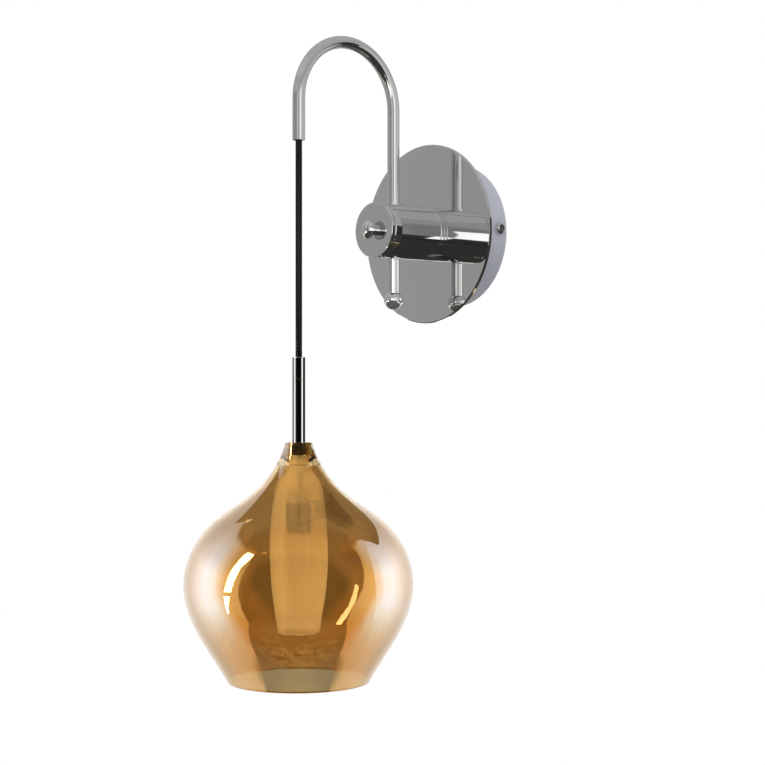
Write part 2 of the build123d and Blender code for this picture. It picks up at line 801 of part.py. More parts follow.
with BuildPart() as diffuser:
    with BuildSketch(glass_plane):
        with BuildLine():
            outside = Spline(*diffuser_outline)
            inside = Spline(*inset(outside, diffuser_wall))
            rim_middle = (outside @ 1 + inside @ 1) / 2 + (outside % 1) * (diffuser_wall / 2)
            ThreePointArc(outside @ 1, rim_middle, inside @ 1)
            Line(inside @ 0, outside @ 0)
        make_face()
    revolve(axis=upright(reach))
diffuser.part.label = "diffuser"
export_step(diffuser.part, "parts/diffuser.step")

# Tapered bush inside the diffuser's neck: the glass hangs on it.
bush_share_top = 0.02
bush_share_foot = 0.085
with BuildPart() as diffuser_bush:
    with BuildSketch(glass_plane):
        with BuildLine():
            bush_inset = diffuser_wall + seat_gap
            cone = Spline(*inset(diffuser_curve, bush_inset, bush_share_top, bush_share_foot, 4))
            inner_x = stem_r + press_gap
            Polyline(cone @ 0, (inner_x, (cone @ 0).Y), (inner_x, (cone @ 1).Y), cone @ 1)
        make_face()
    revolve(axis=upright(reach))
diffuser_bush.part.label = "diffuser_bush"
export_step(diffuser_bush.part, "parts/diffuser_bush.step")

stem_nut_top = diffuser_bush.part.bounding_box().min.Z
with BuildPart() as stem_nut:
    with BuildSketch(level(reach, stem_nut_top - stem_nut_t)):
        RegularPolygon(stem_nut_af / 2, 6, major_radius=False)
        Circle(stem_r, mode=Mode.SUBTRACT)
    extrude(amount=stem_nut_t)
stem_nut.part.label = "stem_nut"
export_step(stem_nut.part, "parts/stem_nut.step")

# ================================================================ outer shade
# The ring lies on the diffuser's shoulder, and the thick neck of the shade stands on the ring.
gasket_share_top = 0.052
gasket_share_foot = 0.078
shoulder_points = inset(diffuser_curve, -seat_gap, gasket_share_top, gasket_share_foot, 4)
gasket_top = shoulder_points[0].Y + gasket_lip
with BuildPart() as shade_gasket:
    with BuildSketch(glass_plane):
        with BuildLine():
            shoulder = Spline(*shoulder_points)
            Polyline(
                shoulder @ 0,
                ((shoulder @ 0).X, gasket_top),
                ((shoulder @ 1).X, gasket_top),
                shoulder @ 1,
            )
        make_face()
    revolve(axis=upright(reach))
shade_gasket.part.label = "shade_gasket"
export_step(shade_gasket.part, "parts/shade_gasket.step")

shade_upper = [
    (0.0, 0.0),
    (0.064, 0.054),
    (0.198, 0.280),
    (0.332, 0.709),
    (0.466, 0.935),
    (0.604, 1.0),
]
shade_lower = [(0.766, 0.235), (0.932, 0.774), (1.0, 1.0)]
neck_share = 0.082      # share of the outline along which the glass is thick
shade_outline = bell(
    shade_neck_r, shade_belly_r, shade_rim_r, shade_height, 0, shade_upper, shade_lower
)
shade_curve = Spline(*shade_outline, mode=Mode.PRIVATE)
shade_top = gasket_top - inset(shade_curve, shade_wall, neck_share, 1)[0].Y

with BuildPart() as outer_shade:
    with BuildSketch(facing(reach, 0, shade_top)):
        with BuildLine():
            outside = Spline(*shade_outline)
            inside = Spline(*inset(outside, shade_wall, neck_share, 1, 24))
            rim_middle = (outside @ 1 + inside @ 1) / 2 + (outside % 1) * (shade_wall / 2)
            ThreePointArc(outside @ 1, rim_middle, inside @ 1)
            Polyline(inside @ 0, (shade_bore_r, (inside @ 0).Y), (shade_bore_r, 0), outside @ 0)
        make_face()
    revolve(axis=upright(reach))
outer_shade.part.label = "outer_shade"
export_step(outer_shade.part, "parts/outer_shade.step")
print("shade: top", round(shade_top, 2), "rim", round(shade_top - shade_height, 2))

# ================================================================ lampholder
with BuildPart() as holder_cap:
    with BuildSketch(level(reach, holder_top)):
        Circle(holder_cap_d / 2)
        Circle(stem_r, mode=Mode.SUBTRACT)
        with Locations((0, holder_screw_pitch / 2), (0, -holder_screw_pitch / 2)):
            Circle(holder_screw_d / 2 + press_gap, mode=Mode.SUBTRACT)
    extrude(amount=holder_cap_t)
holder_cap.part.label = "holder_cap"
export_step(holder_cap.part, "parts/holder_cap.step")

pocket_depth = pinch_depth + seat_gap
slot_depth = pocket_depth + pin_length + seat_gap
slot_t = pin_t + contact_t + 2 * moving_gap
with BuildPart() as lampholder:
    with BuildSketch(level(reach, holder_bottom)):
        Circle(holder_d / 2)
    extrude(amount=holder_length)
    fillet(lampholder.edges().group_by(Axis.Z)[-1], radius=edge_round * 3)
    with BuildSketch(level(reach, holder_bottom)):
        Rectangle(pinch_width + 2 * moving_gap, pinch_t + 2 * moving_gap)
    extrude(amount=pocket_depth, mode=Mode.SUBTRACT)
    with BuildSketch(level(reach, holder_bottom)):
        with Locations((pin_pitch / 2, 0), (-pin_pitch / 2, 0)):
            Rectangle(pin_width + 2 * moving_gap, slot_t)
    extrude(amount=slot_depth, mode=Mode.SUBTRACT)
    with BuildSketch(level(reach, holder_top)):
        with Locations((0, holder_screw_pitch / 2), (0, -holder_screw_pitch / 2)):
            Circle(holder_screw_d / 2 + press_gap)
    extrude(amount=-holder_screw_head_h * 3, mode=Mode.SUBTRACT)
lampholder.part.label = "lampholder"
export_step(lampholder.part, "parts/lampholder.step")

with BuildPart() as holder_contacts:
    with BuildSketch(level(reach, holder_bottom + pocket_depth)):
        with Locations(
            (pin_pitch / 2, (slot_t - contact_t) / 2),
            (-pin_pitch / 2, (slot_t - contact_t) / 2),
        ):
            Rectangle(pin_width, contact_t)
    extrude(amount=pin_length)
holder_contacts.part.label = "holder_contacts"
export_step(holder_contacts.part, "parts/holder_contacts.step")

with BuildPart() as holder_screws:
    with Locations(
        Plane(origin=(0, -reach + holder_screw_pitch / 2, holder_top + holder_cap_t)),
        Plane(origin=(0, -reach - holder_screw_pitch / 2, holder_top + holder_cap_t)),
    ):
        add(
            cross_screw(
                holder_screw_d,
                holder_cap_t + holder_screw_head_h * 2.5,
                holder_screw_head_d,
                recess_depth * 1.4,
            )
        )
holder_screws.part.label = "holder_screws"
export_step(holder_screws.part, "parts/holder_screws.step")

# ================================================================ bulb
pinch_top = holder_bottom + pinch_depth
envelope_top = holder_bottom - moving_gap
bulb_r = bulb_d / 2
bulb_shoulder_r = 2.5
bulb_tip = envelope_top - bulb_length
with BuildPart() as bulb:
    with BuildSketch(glass_plane):
        with BuildLine():
            Polyline((0, bulb_tip), (0, envelope_top), (bulb_r - bulb_shoulder_r, envelope_top))
            CenterArc((bulb_r - bulb_shoulder_r, envelope_top - bulb_shoulder_r), bulb_shoulder_r, 90, -90)
            Line((bulb_r, envelope_top - bulb_shoulder_r), (bulb_r, bulb_tip + bulb_r))
            CenterArc((0, bulb_tip + bulb_r), bulb_r, 0, -90)
        make_face()
    revolve(axis=upright(reach))
    with BuildSketch(level(reach, envelope_top - 1)):
        Rectangle(pinch_width, pinch_t)
    extrude(amount=pinch_top - envelope_top + 1)
bulb.part.label = "bulb"
export_step(bulb.part, "parts/bulb.step")

pin_offset = -(slot_t - contact_t) / 2 + contact_t + (slot_t - pin_t) / 2 - contact_t
with BuildPart() as bulb_pins:
    with BuildSketch(level(reach, pinch_top)):
        with Locations((pin_pitch / 2, 0), (-pin_pitch / 2, 0)):
            Rectangle(pin_width, pin_t)
    extrude(amount=pin_length)
    fillet(bulb_pins.edges().filter_by(Axis.Y).group_by(Axis.Z)[-1], radius=pin_width * 0.4)
bulb_pins.part.label = "bulb_pins"
export_step(bulb_pins.part, "parts/bulb_pins.step")
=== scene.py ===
import math

import bmesh
import bpy
from mathutils import Matrix, Vector


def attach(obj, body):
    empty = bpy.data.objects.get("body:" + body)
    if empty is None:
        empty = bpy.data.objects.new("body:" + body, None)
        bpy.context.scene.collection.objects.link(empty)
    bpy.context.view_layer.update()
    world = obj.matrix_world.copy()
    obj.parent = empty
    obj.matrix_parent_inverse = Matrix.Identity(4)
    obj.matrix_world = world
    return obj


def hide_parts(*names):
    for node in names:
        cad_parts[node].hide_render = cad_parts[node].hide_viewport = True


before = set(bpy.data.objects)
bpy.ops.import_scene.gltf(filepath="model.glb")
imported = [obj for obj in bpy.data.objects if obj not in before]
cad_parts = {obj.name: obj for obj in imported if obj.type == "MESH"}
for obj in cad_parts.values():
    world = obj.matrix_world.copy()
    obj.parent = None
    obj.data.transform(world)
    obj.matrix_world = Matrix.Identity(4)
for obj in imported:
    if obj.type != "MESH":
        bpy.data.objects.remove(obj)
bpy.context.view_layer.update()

scene = bpy.context.scene
scene.view_settings.view_transform = "Standard"


# ---------------------------------------------------------------- camera
# The photograph is taken from the lamp's front right, nearly level, with a long lens from just over a metre away.
# Its place was fitted to the disc's and cup's outlines, the two legs of the arm, the sleeve and the shade's rim.
camera_place = Vector((0.82017, -0.80912, -0.09890))
camera_forward = Vector((-0.74186, 0.67056, -0.00087))
camera_lens = 79.08         # on a 36 mm sensor

camera = bpy.data.objects.new("camera", bpy.data.cameras.new("camera"))
camera.data.sensor_width = 36.0
camera.data.lens = camera_lens
camera.data.clip_start = 0.01
camera.location = camera_place
camera.rotation_euler = camera_forward.to_track_quat("-Z", "Y").to_euler()
scene.collection.objects.link(camera)
scene.camera = camera


# ---------------------------------------------------------------- pendant cord
# A round two-core lamp cord with a smooth black PVC cover, 4.2 mm thick. It hangs dead straight under the shade's
# weight, out of the bush in the arm's tip and into the sleeve, where a grip holds it.
reach = -0.1388             # the pendant's axis, in front of the wall
cord_start = 0.05335
cord_end = -0.0838
cord_thick = 0.0042
cord_steady = 6 * cord_thick    # straight run at each end


class Wire:
    """A shader socket with Python's arithmetic: every operation on it adds one Math node."""

    def __init__(self, socket):
        self.socket = socket

    def out(self, name):
        return Wire(self.socket.node.outputs[name])

    def math(self, operation, *operands):
        tree = self.socket.id_data
        made = tree.nodes.new("ShaderNodeMath")
        made.operation = operation
        for place, operand in zip(made.inputs, operands):
            if isinstance(operand, Wire):
                tree.links.new(operand.socket, place)
            else:
                place.default_value = operand
        return Wire(made.outputs[0])

    def __add__(self, other):
        return self.math("ADD", self, other)

    def __sub__(self, other):
        return self.math("SUBTRACT", self, other)

    def __rsub__(self, other):
        return self.math("SUBTRACT", other, self)

    def __mul__(self, other):
        return self.math("MULTIPLY", self, other)

    __radd__, __rmul__ = __add__, __mul__


class Finish:
    """The node tree of one material or of the world."""

    def __init__(self, owner):
        self.owner = owner
        owner.use_nodes = True
        self.tree = owner.node_tree
        self.tree.nodes.clear()

    def node(self, kind, settings=None, sockets=None, output=0):
        """Adds a node, sets its settings, then its sockets' values or links, and gives one output."""
        made = self.tree.nodes.new("ShaderNode" + kind)
        for name, value in (settings or {}).items():
            if name == "stops":
                ramp = made.color_ramp.elements
                while len(ramp) < len(value):
                    ramp.new(1.0)
                for element, (position, colour) in zip(ramp, value):
                    element.position = position
                    element.color = colour if hasattr(colour, "__len__") else (colour, colour, colour, 1.0)
            else:
                setattr(made, name, value)
        for place, value in (sockets or {}).items():
            if isinstance(value, Wire):
                self.tree.links.new(value.socket, made.inputs[place])
            else:
                made.inputs[place].default_value = value
        return Wire(made.outputs[output])

    def colour(self, factor, low, high):
        """A blend of two colours."""
        low, high = (value if isinstance(value, Wire) else (*value, 1.0) for value in (low, high))
        return self.node("Mix", {"data_type": "RGBA"}, {0: factor, 6: low, 7: high}, output=2)

    def noise(self, scale, detail=2.0, stretch=(1.0, 1.0, 1.0)):
        """Noise from 0 to 1 on Object coordinates, scale being its cells per metre."""
        place = self.node("Mapping", {}, {"Vector": self.node("TexCoord", output="Object"), "Scale": stretch})
        return self.node("TexNoise", {}, {"Vector": place, "Scale": scale, "Detail": detail})

    def step(self, value, low, high):
        """0 below low, 1 above high, smooth between."""
        return self.node("MapRange", {"interpolation_type": "SMOOTHSTEP"},
                         {"Value": value, "From Min": low, "From Max": high})

    def bump(self, height, depth, strength=1.0):
        return self.node("Bump", {}, {"Height": height, "Distance": depth, "Strength": strength})

    def principled(self, **values):
        names = {name.replace("_", " ").title().replace("Ior", "IOR"): value for name, value in values.items()}
        return self.node("BsdfPrincipled", {}, {
            name: (*value, 1.0) if isinstance(value, tuple) and len(value) == 3 else value
            for name, value in names.items()})

    def mix(self, factor, first, second):
        return self.node("MixShader", {}, {0: factor, 1: first, 2: second})

    def done(self, shader):
        output = "OutputWorld" if isinstance(self.owner, bpy.types.World) else "OutputMaterial"
        self.tree.links.new(shader.socket, self.tree.nodes.new("ShaderNode" + output).inputs["Surface"])
        return self.owner


def material(name):
    return Finish(bpy.data.materials.new(name))


def dress(owner, *names):
    """Puts a material on CAD nodes, through their objects' slots."""
    for name in names:
        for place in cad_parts[name].material_slots:
            place.material = owner


cord_black = material("cord_black")
cover_mottle = cord_black.noise(700.0, 3.0)
cord_cover = cord_black.done(cord_black.principled(
    base_color=cord_black.colour(cover_mottle, (0.002, 0.002, 0.002), (0.004, 0.004, 0.004)),
    roughness=0.20 + cover_mottle * 0.06,
    specular_ior_level=0.2,
    normal=cord_black.bump(cover_mottle, 0.000003)))

cord_curve = bpy.data.curves.new("pendant_cord", "CURVE")
cord_curve.dimensions = "3D"
cord_curve.bevel_depth = cord_thick / 2
cord_curve.bevel_resolution = 8
cord_curve.use_fill_caps = True
cord_spline = cord_curve.splines.new("NURBS")
cord_heights = (cord_start, cord_start - cord_steady, cord_end + cord_steady, cord_end)
cord_spline.points.add(len(cord_heights) - 1)
for point, height in zip(cord_spline.points, cord_heights):
    point.co = (0.0, reach, height, 1.0)
cord_spline.order_u = 3
cord_spline.use_endpoint_u = True
cord_curve.materials.append(cord_cover)
pendant_cord = bpy.data.objects.new("pendant_cord", cord_curve)
scene.collection.objects.link(pendant_cord)
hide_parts("cord")
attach(pendant_cord, "pendant")


# ---------------------------------------------------------------- studio
# A white sweep all round, soft lamps from the front right, the left and above, and a pale floor well under the
# lamp. Polished metal and glass get the dark front of the room and the cards that a studio stands round such things.
to_camera = (0.74186, -0.67056, 0.0)
to_right = (0.67056, 0.74186, 0.0)

studio = Finish(bpy.data.worlds.new("studio"))
scene.world = studio.owner
rays = studio.node("LightPath")
direction = studio.node("TexCoord", output="Generated")
parts = studio.node("SeparateXYZ", {}, {0: direction})
east, north, height = parts.out("X"), parts.out("Y"), parts.out("Z")
toward = east * to_camera[0] + north * to_camera[1]
sideways = east * to_right[0] + north * to_right[1]
turn = sideways.math("ARCTAN2", sideways, toward) * (0.5 / math.pi) + 0.5


def at(degrees):
    """Where an angle round from the camera, to its right, lies on a ramp."""
    return 0.5 + degrees / 360.0


def level(degrees):
    """Where a height above the horizon lies on a ramp."""
    return 0.5 + 0.5 * math.sin(math.radians(degrees))


# What polished things mirror: dark round the camera and brown above it. Past front_edge, which leans outward on the
# right and low down, the room is white, peach and gold towards the floor, and brown overhead and underfoot.
brown_above = (0.08, 0.065, 0.03, 1)
climb = height * 0.5 + 0.5
lift = height.math("ARCSINE", height) * (180.0 / math.pi)
right_hand = sideways.math("GREATER_THAN", sideways, 0.0)
far_down = lift.math("MAXIMUM", -39.0 - lift, 0.0)
front_edge = 57.0 + right_hand * (9.0 + lift.math("MAXIMUM", lift, -20.0) * 0.38) + far_down * 1.1
round_by = ((turn - 0.5).math("ABSOLUTE", turn - 0.5)) * 360.0
past_front = studio.step(round_by - front_edge, -1.2, 1.2)
white_side = studio.node("ValToRGB", {"stops": [
    (level(-62), (0.06, 0.04, 0.02, 1)), (level(-57), (0.62, 0.36, 0.15, 1)), (level(-47), (0.78, 0.50, 0.27, 1)),
    (level(-38), (1.00, 0.78, 0.54, 1)), (level(-28), (1.30, 1.20, 1.02, 1)), (level(-18), 1.45), (level(12), 1.5),
    (level(26), 1.10), (level(40), (0.90, 0.88, 0.83, 1)), (level(46), (0.80, 0.72, 0.60, 1)),
    (level(50), brown_above)]},
    {0: climb})
dark_front = studio.node("ValToRGB", {"stops": [
    (level(-24), 0.03), (level(44), 0.03), (level(50), brown_above)]}, {0: climb})
room = studio.colour(past_front, dark_front, white_side)

# What shows through the glass: white, but brown right behind the lamp and grey below it, and dark round the camera.
# It is fitted to the photograph's side alone, and it isn't the white that the camera sees behind the lamp.
shut_back = studio.step(toward * -1.0, math.cos(math.radians(15)), math.cos(math.radians(10)))
below_mouth = studio.step(height * -1.0, 0.160, 0.168)
back_drop = studio.colour(below_mouth, (0.30, 0.27, 0.16), (0.72, 0.80, 0.76))
shut_front = studio.step(toward, math.cos(math.radians(62)), math.cos(math.radians(48)))
behind_glass = studio.colour(below_mouth, (1.22, 1.25, 1.22), (0.80, 0.84, 0.76))
behind_glass = studio.colour(studio.step(height * -1.0, 0.25, 0.45), behind_glass, (0.15, 0.12, 0.07))
behind_glass = studio.colour(shut_front, behind_glass, (0.10, 0.10, 0.10))
behind_glass = studio.colour(shut_back, behind_glass, back_drop)
seen = studio.colour(rays.out("Is Glossy Ray"), (0.65, 0.65, 0.65), room)
seen = studio.colour(rays.out("Is Transmission Ray"), seen, behind_glass)
seen = studio.colour(rays.out("Is Camera Ray"), seen, (1.0, 1.0, 1.0))
studio.done(studio.node("Background", {}, {"Color": seen, "Strength": 1.0}))


def lamp(name, place, size, watts):
    """A soft square lamp that faces the middle of the object and isn't mirrored in it."""
    light = bpy.data.lights.new(name, "AREA")
    light.shape = "SQUARE"
    light.size = size
    light.energy = watts
    made = bpy.data.objects.new(name, light)
    made.location = place
    made.rotation_euler = (Vector((0.0, -0.08, -0.1)) - Vector(place)).to_track_quat("-Z", "Y").to_euler()
    made.visible_glossy = made.visible_transmission = False
    scene.collection.objects.link(made)


lamp("key_lamp", (1.1, -0.75, 0.75), 0.9, 7.0)
lamp("fill_lamp", (-1.1, -1.0, 0.2), 0.9, 3.5)
lamp("top_lamp", (0.1, -0.2, 1.3), 0.8, 4.0)


def place_mesh(name, build):
    """An object at the origin whose mesh a bmesh builder fills."""
    mesh = bpy.data.meshes.new(name)
    shape = bmesh.new()
    build(shape)
    bmesh.ops.recalc_face_normals(shape, faces=shape.faces)
    shape.to_mesh(mesh)
    shape.free()
    made = bpy.data.objects.new(name, mesh)
    scene.collection.objects.link(made)
    return made


def card(name, build, glow):
    """A studio card that only polished surfaces see."""
    made = place_mesh(name, build)
    made.data.materials.append(glow)
    made.visible_camera = made.visible_diffuse = made.visible_transmission = made.visible_shadow = False
    return made


# Canopy, barrel and arm stand in a drum of cards, open to nothing else: a wall of greys and whites that draws the
# chrome's stripes, a grey lid, and a black table just under the barrel. The table is seen only from above. What
# the glass below it mirrors passes through it, and that clear surface keeps the drum's cards out of the glass.
drum_centre = Vector((0.0, -0.08, 0.0))
drum_radius = 0.5
drum_low, drum_high = -0.0989, 0.45


def round_axis(finish, centre):
    """How far round an upright axis a card's point lies, how far out and how high, from Object coordinates."""
    place = finish.node("SeparateXYZ", {}, {0: finish.node("TexCoord", output="Object")})
    across, along = place.out("X") - centre.x, place.out("Y") - centre.y
    ahead = across * to_camera[0] + along * to_camera[1]
    aside = across * to_right[0] + along * to_right[1]
    out = (across * across + along * along).math("SQRT", across * across + along * along)
    return ahead.math("ARCTAN2", aside, ahead) * (0.5 / math.pi) + 0.5, out, place.out("Z")


def card_glow(name, shade_of, clear_surfaces=0, spread=0.5):
    """Light of one card, given off only to rays that have passed so many clear surfaces, more or less."""
    made = material(name)
    passed = made.node("LightPath").out("Transparent Depth")
    met = passed.math("COMPARE", passed, float(clear_surfaces), spread)
    colour = shade_of(made) if callable(shade_of) else shade_of
    return made.done(made.mix(met, made.node("BsdfTransparent"), made.node("Emission", {}, {"Color": colour})))


def grey(strength):
    return (strength, strength, strength, 1.0)


def wall_shade(finish):
    turned, out, rise = round_axis(finish, drum_centre)
    stripes = finish.node("ValToRGB", {"stops": [
        (at(-180), 0.37), (at(-104), 0.39), (at(-78), 0.32), (at(-56), 0.24), (at(-38), 0.33), (at(-26), 0.62),
        (at(-10), 0.62), (at(-4), 0.28), (at(8), 0.30), (at(13), 1.15), (at(30), 1.15), (at(42), 0.75),
        (at(60), 0.62), (at(77), 0.60), (at(80), 0.42), (at(91), 0.42), (at(95), 0.60), (at(120), 0.58),
        (at(146), 0.37)]}, {0: turned})
    return finish.colour(finish.step(rise, 0.18, 0.28), stripes, (0.43, 0.43, 0.45))


def round_wall(centre, radius, low, high, steps):
    def build(shape):
        foot = shape.verts.new(centre + Vector((radius, 0.0, low)))
        head = shape.verts.new(centre + Vector((radius, 0.0, high)))
        edge = shape.edges.new((foot, head))
        bmesh.ops.spin(shape, geom=[foot, head, edge], cent=centre, axis=(0, 0, 1), angle=2 * math.pi,
                       steps=steps, use_merge=True)
    return build


def flat_disc(radius, centre):
    def build(shape):
        bmesh.ops.create_circle(shape, cap_ends=True, segments=96, radius=radius)
        bmesh.ops.translate(shape, verts=shape.verts, vec=centre)
    return build


def flat_card(corners):
    def build(shape):
        shape.faces.new([shape.verts.new(corner) for corner in corners])
    return build


card("drum_wall", round_wall(drum_centre, drum_radius, drum_low, drum_high, 96),
     card_glow("drum_wall", wall_shade))
card("drum_lid", flat_disc(drum_radius, drum_centre + Vector((0, 0, drum_high))),
     card_glow("drum_lid", (0.47, 0.47, 0.49, 1.0)))


def table_shade(finish):
    turned, out, rise = round_axis(finish, drum_centre)
    dark_way = finish.node("ValToRGB", {"stops": [
        (at(-180), 0.36), (at(-48), 0.36), (at(-42), 0.045), (at(112), 0.045), (at(118), 0.36)]}, {0: turned})
    return finish.colour(finish.step(out, 0.20, 0.26), table_dark, dark_way)


table_dark = (0.045, 0.045, 0.047)
table_black = material("table_black")
table_passed = table_black.node("LightPath").out("Transparent Depth")
table_top = table_black.node("NewGeometry", output="Backfacing") * table_passed.math(
    "LESS_THAN", table_passed, 0.5)
table_black.done(table_black.mix(
    table_top, table_black.node("BsdfTransparent"),
    table_black.node("Emission", {}, {"Color": table_shade(table_black)})))
card("drum_table", flat_disc(drum_radius, drum_centre + Vector((0, 0, drum_low))), table_black.owner)

# A board on the table under the canopy is black on top like the table; the shade mirrors its brown underside.
board = material("canopy_board")
board_passed = board.node("LightPath").out("Transparent Depth")
board.done(board.node("Emission", {}, {"Color": board.colour(
    board_passed.math("GREATER_THAN", board_passed, 0.5), table_dark, brown_above[:3])}))
card("canopy_board", flat_card([
    Vector((x, y, -0.0975)) for x, y in ((-0.10, 0.03), (0.10, 0.03), (0.10, -0.19), (-0.10, -0.19))]),
     board.owner)

# A card over the front lights the barrel's upper half.
card("over_card", flat_card([
    Vector((x, y, 0.40)) for x, y in ((-0.4, -0.24), (0.3, -0.24), (0.3, -0.50), (-0.4, -0.50))]),
     card_glow("over_card", grey(0.53)))

# A black card low on the right darkens the barrel from about its middle down.
card("low_card", flat_card([
    drum_centre + 0.47 * (math.cos(math.radians(turned)) * Vector(to_camera)
                          + math.sin(math.radians(turned)) * Vector(to_right)) + Vector((0, 0, rise))
    for turned, rise in ((77, -0.0985), (93, -0.0985), (93, 0.11), (77, 0.11))]),
     card_glow("low_card", grey(0.03)))

# Small bright cards left of the lens draw the white line and patch on the barrel's reflection in the disc.
slit_distance = 0.25
slit_white = card_glow("slit_white", grey(1.8))
for name, left, right, low, high in (("slit_line", -0.027, -0.012, -0.076, -0.040),
                                     ("slit_patch", -0.145, -0.027, -0.044, 0.040)):
    card(name, flat_card([
        slit_distance * Vector(to_camera) + side * Vector(to_right) + Vector((0, 0, rise))
        for side, rise in ((left, low), (right, low), (right, high), (left, high))]), slit_white)

# The sleeve has a small ring of its own, which only rays that left it through two clear shells meet. Ring and shells
# stay at rest, so a sleeve that has swung or turned away loses its stripes.
sleeve_axis = Vector((0.0, reach, 0.0))


def sleeve_stripes(finish):
    turned, out, rise = round_axis(finish, sleeve_axis)
    return finish.node("ValToRGB", {"stops": [
        (at(-180), 0.25), (at(-172), 0.03), (at(-106), 0.03), (at(-98), 0.62), (at(-90), 1.2), (at(-68), 1.2),
        (at(-60), 0.25), (at(-46), 0.004), (at(46), 0.002), (at(53), 0.5), (at(60), 1.35), (at(84), 1.35),
        (at(88), 0.01), (at(160), 0.01), (at(172), 0.12), (at(180), 0.25)]}, {0: turned})


clear_shell = material("clear_shell")
clear_shell.done(clear_shell.node("BsdfTransparent"))
for name, radius in (("sleeve_shell_inner", 0.0062), ("sleeve_shell_outer", 0.0068)):
    card(name, round_wall(sleeve_axis, radius, -0.1500, -0.0795, 64), clear_shell.owner)
card("sleeve_ring", round_wall(sleeve_axis, 0.16, -0.165, -0.075, 64),
     card_glow("sleeve_ring", sleeve_stripes, 3, 1.2))

# Two tall windows stand either side of the front, and the shade's belly mirrors a strip of each.
shade_middle = Vector((0.0, reach, -0.21))


def window_card(name, facing_turn, corners, shade_glow):
    """A card whose corners are directions, turn from the lens and height, as the shade's side sees them."""
    def point_of(turned, raised, distance):
        turned, raised = math.radians(turned), math.radians(raised)
        flat_way = math.cos(turned) * Vector(to_camera) + math.sin(turned) * Vector(to_right)
        return distance * (math.cos(raised) * flat_way + Vector((0, 0, math.sin(raised))))
    eye = shade_middle + point_of(facing_turn, 0.0, 0.07)
    card(name, flat_card([eye + point_of(turned, raised, 1.0) for turned, raised in corners]), shade_glow)


def glow(name, strength):
    made = material(name)
    return made.done(made.node("Emission", {}, {"Color": grey(strength)}))


window_white = glow("window_white", 20.0)
window_card("window_upper", -32.0, ((-75, -3), (-66, -3), (-57, 46), (-68, 46)), window_white)
window_card("window_lower", -32.0, ((-77, -28), (-75, -28), (-67, -8), (-75.5, -8)), window_white)
window_pale = glow("window_pale", 4.5)
window_card("window_right", 28.0, ((45, -43), (53, -43), (64, 6), (60.5, 9)), window_pale)

# The floor is a plain pale disc that fades into the sweep and keeps the lamp's shadow.
floor_level = -1.0
floor_reach = 1.3
floor = place_mesh("floor", lambda shape: bmesh.ops.create_circle(
    shape, cap_ends=True, segments=96, radius=floor_reach))
floor.data.transform(Matrix.Translation((0.0, -0.1, floor_level)))
floor_pale = material("floor_pale")
floor_place = floor_pale.node("Mapping", {"vector_type": "POINT"}, {
    "Vector": floor_pale.node("TexCoord", output="Object"), "Location": (0.0, 0.1, -floor_level)})
floor_out = floor_pale.node("VectorMath", {"operation": "LENGTH"}, {0: floor_place}, output="Value")
floor_white = floor_pale.principled(base_color=(0.80, 0.80, 0.80), roughness=0.9)
floor_lit = floor_pale.node("AddShader", {}, {0: floor_white, 1: floor_pale.node("Emission", {}, {
    "Color": (0.35, 0.35, 0.35, 1.0)})})
floor_pale.done(floor_pale.mix(floor_pale.step(floor_out, 0.7, 1.25), floor_lit,
                               floor_pale.node("BsdfTransparent")))
floor.data.materials.append(floor_pale.owner)
floor.visible_glossy = False


# ---------------------------------------------------------------- canopy disc
# The 120 mm front disc is brass sheet, polished and chrome plated to a mirror. It is clamped against the cup by the
# hollow nipple that also carries the barrel.
def plated(name, tint, haze, smear_scale, wave=0.00001, metal=1.0):
    """Bright chrome plating: finger-soft smears in its haze, and the slow ripple of hand polishing."""
    made = material(name)
    smear = made.noise(smear_scale, 4.0)
    fine = made.noise(smear_scale * 9.0, 2.0)
    return made.done(made.principled(
        base_color=made.colour(smear, tuple(0.965 * part for part in tint), tint),
        metallic=metal,
        roughness=haze + smear * 0.035 + fine * 0.012,
        normal=made.bump(smear, wave)))


mirror_chrome = plated("mirror_chrome", (0.745, 0.742, 0.735), 0.012, 26.0, 0.000015)
dress(mirror_chrome, "canopy_disc")


# ---------------------------------------------------------------- canopy cup
# The cup behind the disc is spun steel with a satin plated side: brushed round its axis, cool lavender grey.
cup_chrome = material("cup_satin")
brush = cup_chrome.noise(1.0, 5.0, (260.0, 2600.0, 260.0))
cloud = cup_chrome.noise(38.0, 3.0)
cup_satin = cup_chrome.done(cup_chrome.principled(
    base_color=cup_chrome.colour(cloud, (0.49, 0.50, 0.57), (0.55, 0.56, 0.63)),
    metallic=0.35,
    roughness=0.42 + brush * 0.12,
    normal=cup_chrome.bump(brush, 0.00003)))
dress(cup_satin, "canopy_cup")


# ---------------------------------------------------------------- cup's side screws
# Pan-head cross screws, nickel plated, that hold the cup on the wall bracket's tabs.
screw_chrome = plated("screw_chrome", (0.70, 0.68, 0.64), 0.10, 300.0)
dress(screw_chrome, "canopy_side_screws")


# ---------------------------------------------------------------- barrel
# The stubby barrel is turned brass, polished and chrome plated, with a thin foot ring, a disc-shaped cap and two
# flush collars where the arm passes through.
barrel_chrome = plated("barrel_chrome", (0.745, 0.742, 0.735), 0.018, 34.0, 0.00001)
dress(barrel_chrome, "barrel_ring", "barrel_tube", "barrel_cap", "arm_collars")


# ---------------------------------------------------------------- crook arm
# Bright-plated 8 mm steel tube, bent to a half circle, with a ball finial screwed into its lower end.
arm_chrome = plated("arm_chrome", (0.755, 0.75, 0.74), 0.025, 60.0)
dress(arm_chrome, "arm_tube")
ball_chrome = plated("ball_chrome", (0.755, 0.75, 0.74), 0.04, 90.0, metal=0.88)
dress(ball_chrome, "arm_finial")


